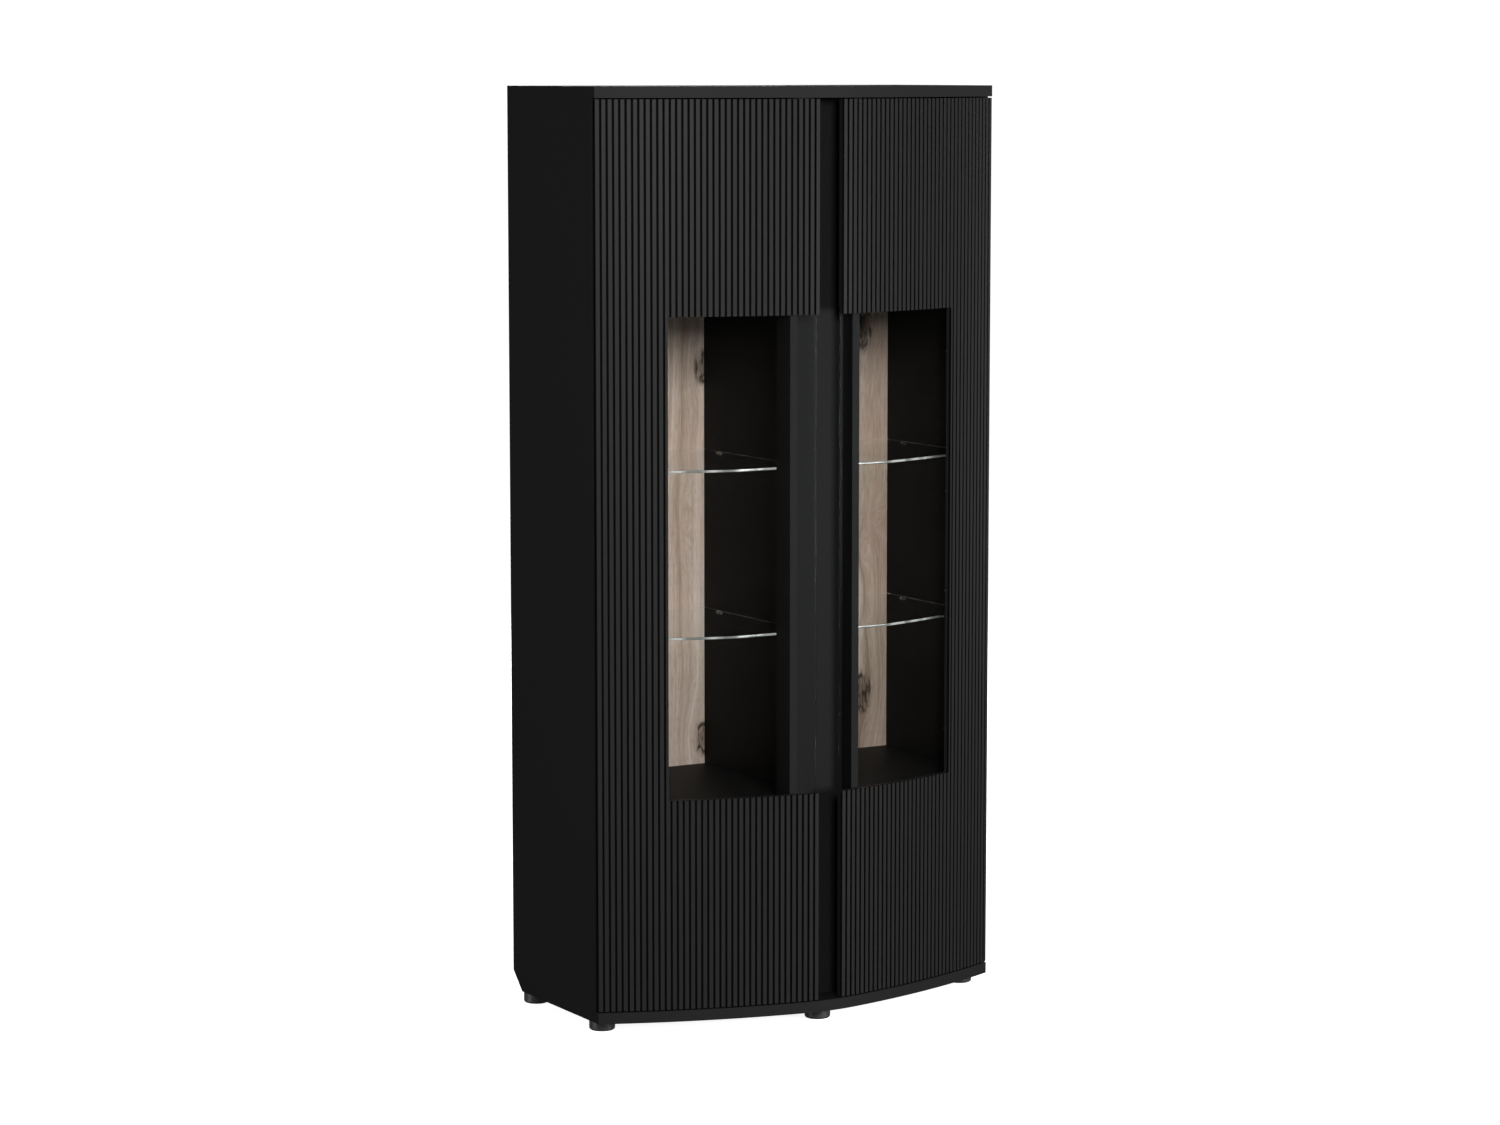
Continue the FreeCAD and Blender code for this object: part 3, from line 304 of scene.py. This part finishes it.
def laminate(name, light, dark, gloss, mirror, fluted=False):
    """Matt black board: cloudy tone, a fine pearl texture and faint dust in its pores; on the fluted
    foil, painted shade darkens the grooves and the ribs' rounded edges.
    """
    g = Graph(name)
    cloud = g.noise(g.place, 2.6, detail=1.0)
    grain = g.noise(g.stretched(1.0, 1.0, 0.06), 420.0, detail=2.0)
    pearl = g.noise(g.place, 1400.0, detail=1.0)
    tone = g.add(g.times(cloud, 0.25), g.times(grain, 0.55), g.times(pearl, 0.20))
    colour = g.ramp(tone, [(0.3, dark), (0.7, light)])
    dust = g.between(g.noise(g.place, 2600.0, detail=0.0), 0.72, 0.8)
    colour = g.blend(g.times(dust, DUST), colour, DUST_TONE)
    worn = g.add(g.times(cloud, 0.4), g.times(grain, 0.6))
    roughness = g.between(worn, 0.3, 0.7, gloss - 0.02, gloss + 0.03)
    if fluted:
        # Painted shade: the flutes' grooves and the ribs' rounded edges are blended towards black.
        painted_shade = painted_flute_shade(g)
        colour = g.blend(painted_shade, (0.0, 0.0, 0.0), colour)
        roughness = g.add(roughness, g.between(painted_shade, 0.0, 1.0, BOTTOM_ROUGHER, 0.0))
    else:
        band = tuple(part * BAND_LIGHTER for part in light)
        colour = g.blend(edge_band(g), colour, band)
    normal = g.bump(g.add(pearl, g.times(grain, 0.7)), 0.00006, 0.5)
    return g.finish(g.surface(colour, roughness, normal, Specular_IOR_Level=mirror))


def grain_path(g, x, z):
    """Position across the grain, bent by slow waves and the spots, and the mask of the knots."""
    wave = g.noise(g.vector(g.times(x, 3.2), 0.0, g.times(z, 1.1)), 1.0, detail=2.0)
    ripple = g.noise(g.vector(g.times(x, 16.0), 2.0, g.times(z, 5.0)), 1.0, detail=2.0)
    path = g.add(x, g.times(wave, 0.10), g.times(ripple, 0.007))
    knots = 0.0
    for spot_x, spot_z, half_x, half_z in KNOTS:
        away = g.maths("SUBTRACT", x, spot_x)
        above = g.maths("SUBTRACT", z, spot_z)
        near = hump(g, away, above, half_x * 1.9, half_z * 2.2)
        path = g.maths("SUBTRACT", path, g.times(g.times(away, 0.8), near))
        core = hump(g, away, above, half_x * 0.75, half_z * 0.8)
        knots = g.maths("MAXIMUM", knots, core)
    for spot_x, spot_z, half_x, half_z in EYES:
        away = g.maths("SUBTRACT", x, spot_x)
        near = hump(g, away, g.maths("SUBTRACT", z, spot_z), half_x, half_z)
        path = g.add(path, g.times(near, half_x * 1.6))
    return path, knots


def hump(g, x, z, half_x, half_z):
    """Soft hump: 1 at the spot, and near 0 past twice its half sizes."""
    square_x = g.maths("POWER", g.maths("ABSOLUTE", g.maths("DIVIDE", x, half_x)), 2.0)
    square_z = g.maths("POWER", g.maths("ABSOLUTE", g.maths("DIVIDE", z, half_z)), 2.0)
    return g.maths("EXPONENT", g.maths("MULTIPLY", g.add(square_x, square_z), -1.0))


def oak_noise(g, path, z, across, along, seed, detail, **settings):
    """Noise that runs with the grain: fine across the path, long in height."""
    place = g.vector(g.times(path, across), seed, g.times(z, along))
    return g.noise(place, 1.0, detail=detail, **settings)


def oak_decor():
    """Grey-brown oak print with knots on the front, raw hardboard on the back and edges."""
    g = Graph("oak_decor")
    x, _, z = g.axes()
    path, knot = grain_path(g, x, z)
    rings = oak_noise(g, path, z, across=70.0, along=0.5, seed=0.0, detail=3.0, roughness=0.6)
    broad = oak_noise(g, path, z, across=11.0, along=0.9, seed=5.0, detail=2.0)
    fibre = oak_noise(g, path, z, across=520.0, along=22.0, seed=0.0, detail=3.0, roughness=0.65)
    pores = oak_noise(g, path, z, across=1100.0, along=60.0, seed=3.0, detail=1.0)
    tone = g.add(g.times(rings, 0.38), g.times(broad, 0.30), g.times(fibre, 0.32))
    colour = g.ramp(tone, OAK_TONES)
    patches = oak_noise(g, path, z, across=9.0, along=2.6, seed=8.0, detail=1.0)
    blush = g.between(patches, 0.42, 0.6)
    colour = g.blend(g.times(blush, 0.7), colour, OAK_BLUSH, "MULTIPLY")
    line = g.between(rings, 0.40, 0.34)
    colour = g.blend(g.times(line, 0.45), colour, OAK_LINE)
    dark_pore = g.between(pores, 0.56, 0.68)
    colour = g.blend(g.times(dark_pore, 0.45), colour, OAK_PORE)
    swirl = oak_noise(g, x, z, across=60.0, along=17.0, seed=9.0, detail=3.0, distortion=0.9)
    colour = g.blend(g.between(knot, 0.10, 0.80, 0.0, 0.72), colour, KNOT_TONE)
    crack = g.between(g.maths("ABSOLUTE", g.add(swirl, -0.5)), 0.06, 0.02)
    rim = g.between(g.maths("ABSOLUTE", g.add(knot, -0.36)), 0.17, 0.05)
    broken_rim = g.times(rim, g.between(swirl, 0.42, 0.56))
    knot_edge = g.maths("MAXIMUM", g.times(crack, g.between(knot, 0.10, 0.40)), broken_rim)
    colour = g.blend(g.times(knot_edge, 0.93), colour, KNOT_CRACK)
    hard = g.noise(g.stretched(1.0, 1.0, 1.6), 190.0, detail=4.0, roughness=0.7)
    raw = g.ramp(hard, HARDBOARD_TONES)
    front = g.between(g.facing()[1], -0.4, -0.6)
    colour = g.blend(front, raw, colour)
    roughness = g.between(fibre, 0.3, 0.7, 0.46, 0.6)
    height = g.add(g.times(fibre, 0.6), g.times(dark_pore, -0.5), g.times(knot_edge, -0.5))
    normal = g.bump(height, 0.00018, 0.6)
    return g.finish(g.surface(colour, roughness, normal, IOR=1.45))


def window_glass():
    """Clear pane that lets light through, with a faint sheen and a green tint at its edges."""
    g = Graph("window_glass")
    edge = g.between(g.maths("ABSOLUTE", g.facing()[1]), 0.62, 0.5)
    haze = g.noise(g.place, 1.6, detail=1.0)
    clear = g.node("ShaderNodeBsdfTransparent")
    g.feed(clear.inputs["Color"], g.blend(edge, PANE_CLEAR, PANE_EDGE))
    sheen = g.surface(PANE_SHEEN, g.between(haze, 0.3, 0.7, 0.13, 0.16), Metallic=1.0)
    fresnel = g.node("ShaderNodeFresnel")
    fresnel.inputs["IOR"].default_value = 1.22
    mix = g.node("ShaderNodeMixShader")
    g.feed(mix.inputs[0], g.add(g.times(fresnel.outputs[0], 0.06), g.times(edge, 0.08)))
    g.feed(mix.inputs[1], clear.outputs[0])
    g.feed(mix.inputs[2], sheen)
    return g.finish(mix.outputs[0])


def shelf_glass():
    """Clear toughened glass with pale ground edges, patched along their length with painted
    reflections, bright and dark.
    """
    g = Graph("shelf_glass")
    ripple = g.noise(g.place, 3.0, detail=1.0)
    edge = g.between(g.maths("ABSOLUTE", g.facing()[2]), 0.8, 0.6)
    # Painted reflections: bright and dark patches along the ground edges, blended between the two edge
    # tones.
    cloud = g.noise(g.stretched(1.0, 1.0, 0.0), 26.0, detail=3.0)
    painted_glints = g.between(cloud, 0.42, 0.56, 0.16, 0.6)
    ground_and_glint_tone = g.blend(painted_glints, *SHELF_EDGE_TONES_AND_GLINTS)
    normal = g.bump(ripple, 0.0002, 0.1)
    pane = g.surface(SHELF_PANE, 0.0, normal, IOR=1.5, Transmission_Weight=1.0)
    ground_edge_with_glints = g.surface(ground_and_glint_tone, 0.18, normal, IOR=1.5, Transmission_Weight=0.25)
    solid = g.node("ShaderNodeMixShader")
    g.feed(solid.inputs[0], edge)
    g.feed(solid.inputs[1], pane)
    g.feed(solid.inputs[2], ground_edge_with_glints)
    clear = g.node("ShaderNodeBsdfTransparent")
    clear.inputs["Color"].default_value = SHELF_SHADOW
    path = g.node("ShaderNodeLightPath")
    mix = g.node("ShaderNodeMixShader")
    g.feed(mix.inputs[0], path.outputs["Is Shadow Ray"])
    g.feed(mix.inputs[1], solid.outputs[0])
    g.feed(mix.inputs[2], clear.outputs[0])
    return g.finish(mix.outputs[0])


def moulded_plastic(name, colour, lighter, roughness, **constants):
    """Moulded plastic: cloudy tone and a fine spark-eroded texture."""
    g = Graph(name)
    cloud = g.noise(g.place, 60.0, detail=2.0)
    grit = g.noise(g.place, 1800.0, detail=2.0)
    mottle = g.between(g.add(g.times(cloud, 0.6), g.times(grit, 0.4)), 0.35, 0.65)
    tone = g.blend(mottle, colour, lighter)
    normal = g.bump(grit, 0.00005, 0.5)
    shine = g.between(cloud, 0.3, 0.7, roughness - 0.05, roughness + 0.05)
    return g.finish(g.surface(tone, shine, normal, **constants))


def plated_metal(name, bright, dull, roughness):
    """Plated metal with fine brushing and cloudy plating."""
    g = Graph(name)
    cloud = g.noise(g.place, 45.0, detail=2.0)
    brush = g.noise(g.stretched(1.0, 1.0, 9.0), 900.0, detail=1.0)
    colour = g.ramp(g.add(g.times(cloud, 0.7), g.times(brush, 0.3)), [(0.35, dull), (0.65, bright)])
    uneven = g.add(g.times(cloud, 0.5), g.times(brush, 0.5))
    shine = g.between(uneven, 0.3, 0.7, roughness - 0.03, roughness + 0.05)
    normal = g.bump(brush, 0.00001, 0.3)
    return g.finish(g.surface(colour, shine, normal, Metallic=1.0))


def beech():
    """Turned beech: short darker flecks along the dowel."""
    g = Graph("beech")
    fleck = g.noise(g.stretched(900.0, 900.0, 120.0), 1.0, detail=2.0)
    ring = g.noise(g.stretched(160.0, 160.0, 10.0), 1.0, detail=2.0)
    tone = g.add(g.times(fleck, 0.5), g.times(ring, 0.5))
    colour = g.ramp(tone, BEECH_TONES)
    return g.finish(g.surface(colour, 0.62, g.bump(fleck, 0.0001, 0.5)))


def make_materials():
    clear = {"Transmission_Weight": 0.6, "IOR": 1.46}
    return {
        "black_laminate": laminate("black_laminate", *BOARD_TONES, gloss=0.55, mirror=0.06),
        "fluted_black": laminate("fluted_black", *FOIL_TONES, gloss=0.45, mirror=0.08, fluted=True),
        "oak_decor": oak_decor(),
        "window_glass": window_glass(),
        "shelf_glass": shelf_glass(),
        "foot_plastic": moulded_plastic("foot_plastic", *GLIDE_TONES, 0.36),
        "clear_plastic": moulded_plastic("clear_plastic", *MILKY_TONES, 0.3, **clear),
        "beech": beech(),
        "nickel": plated_metal("nickel", *NICKEL_TONES, 0.36),
        "zinc": plated_metal("zinc", *ZINC_TONES, 0.45),
        "steel": plated_metal("steel", *STEEL_TONES, 0.38),
    }


def assign_materials():
    """Gives each CAD piece the detailed material of its own finish."""
    made = make_materials()
    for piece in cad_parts.values():
        for slot in piece.material_slots:
            slot.material = made[slot.material.name.split(".")[0]]


# ---------------------------------------------------------------- soft edges

def soften(name, width, segments=2):
    """Rounds a CAD piece's sharp edges a little, with modifiers only."""
    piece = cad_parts[name]
    weld = piece.modifiers.new("weld", "WELD")
    weld.merge_threshold = WELD_REACH
    flat = piece.modifiers.new("flat", "DECIMATE")
    flat.decimate_type = "DISSOLVE"
    flat.angle_limit = FLAT_ANGLE
    bevel = piece.modifiers.new("bevel", "BEVEL")
    bevel.width = width
    bevel.segments = segments
    bevel.limit_method = "ANGLE"
    bevel.angle_limit = SHARP_ANGLE
    bevel.use_clamp_overlap = True
    shading = piece.modifiers.new("shading", "WEIGHTED_NORMAL")
    shading.keep_sharp = False
    shading.weight = 80


def soften_all():
    """Rounds the boards, the glass, the glides and the larger fittings."""
    for name in ("base_plate", "top_plate", "grip_channel_board"):
        soften(name, BOARD_EDGE)
    for side in SIDES:
        for board in ("side_panel", "grip_cheek", "display_floor", "display_ceiling"):
            soften(f"{side}_{board}", BOARD_EDGE)
        for panel in ("upper_panel", "lower_panel", "outer_strip"):
            soften(f"{side}_door_{panel}", SLAT_EDGE)
        for level in ("upper", "lower"):
            soften(f"{side}_{level}_glass_shelf", GLASS_EDGE, 1)
        for part in ("hinge_arms", "hinge_plates", "shelf_pins", "rear_rail"):
            soften(f"{side}_{part}", METAL_EDGE)
        for part in ("hinge_cups", "bumpers"):
            soften(f"{side}_door_{part}", METAL_EDGE)
        soften(f"{side}_door_glass", GLASS_EDGE, 1)
    for end in ("front", "rear"):
        for spot in ("left", "centre", "right"):
            soften(f"foot_{end}_{spot}", FOOT_EDGE)


# ---------------------------------------------------------------- stage, lights and camera

def make_floor():
    mesh = bpy.data.meshes.new("floor")
    half = FLOOR_SIZE / 2
    corners = [(-half, -half, 0), (half, -half, 0), (half, half, 0), (-half, half, 0)]
    mesh.from_pydata(corners, [], [(0, 1, 2, 3)])
    floor = bpy.data.objects.new("floor", mesh)
    bpy.context.scene.collection.objects.link(floor)
    g = Graph("pale_floor")
    tone = g.noise(g.place, 1.5, detail=3.0)
    colour = g.ramp(tone, FLOOR_TONES)
    glow = {"Emission_Color": WHITE, "Emission_Strength": FLOOR_GLOW}
    mesh.materials.append(g.finish(g.surface(colour, 0.9, Specular_IOR_Level=0.0, **glow)))
    floor.visible_glossy = False
    floor.visible_diffuse = False


def make_world():
    """White to the camera, dimmer to the surfaces, so that black boards stay black."""
    world = bpy.data.worlds.new("studio")
    bpy.context.scene.world = world
    world.use_nodes = True
    tree = world.node_tree
    tree.nodes.clear()
    path = tree.nodes.new("ShaderNodeLightPath")
    strength = tree.nodes.new("ShaderNodeMix")
    strength.inputs[2].default_value = WORLD_DIM
    strength.inputs[3].default_value = WORLD_GLOW
    background = tree.nodes.new("ShaderNodeBackground")
    background.inputs[0].default_value = WHITE
    output = tree.nodes.new("ShaderNodeOutputWorld")
    tree.links.new(path.outputs["Is Camera Ray"], strength.inputs[0])
    tree.links.new(strength.outputs[0], background.inputs[1])
    tree.links.new(background.outputs[0], output.inputs[0])


def aim(thing, target):
    heading = Vector(target) - thing.location
    thing.rotation_euler = heading.to_track_quat("-Z", "Y").to_euler()


def make_lights():
    for name, box in SOFTBOXES.items():
        light = bpy.data.lights.new(name, "AREA")
        light.shape = "RECTANGLE"
        light.size, light.size_y = box["size"]
        light.energy = box["power"]
        lamp = bpy.data.objects.new(name, light)
        bpy.context.scene.collection.objects.link(lamp)
        lamp.location = box["place"]
        lamp.visible_camera = False
        aim(lamp, centre)


def make_camera():
    data = bpy.data.cameras.new("camera")
    data.sensor_width = CAMERA_SENSOR
    data.lens = CAMERA_LENS
    data.clip_end = CAMERA_FAR
    camera = bpy.data.objects.new("camera", data)
    bpy.context.scene.collection.objects.link(camera)
    camera.location = CAMERA_PLACE
    camera.rotation_euler = (math.pi / 2 - CAMERA_DIP, 0.0, CAMERA_TURN)
    bpy.context.scene.camera = camera


make_camera()
make_lights()
make_world()
make_floor()
assign_materials()
soften_all()
bpy.context.scene.view_settings.view_transform = "Standard"
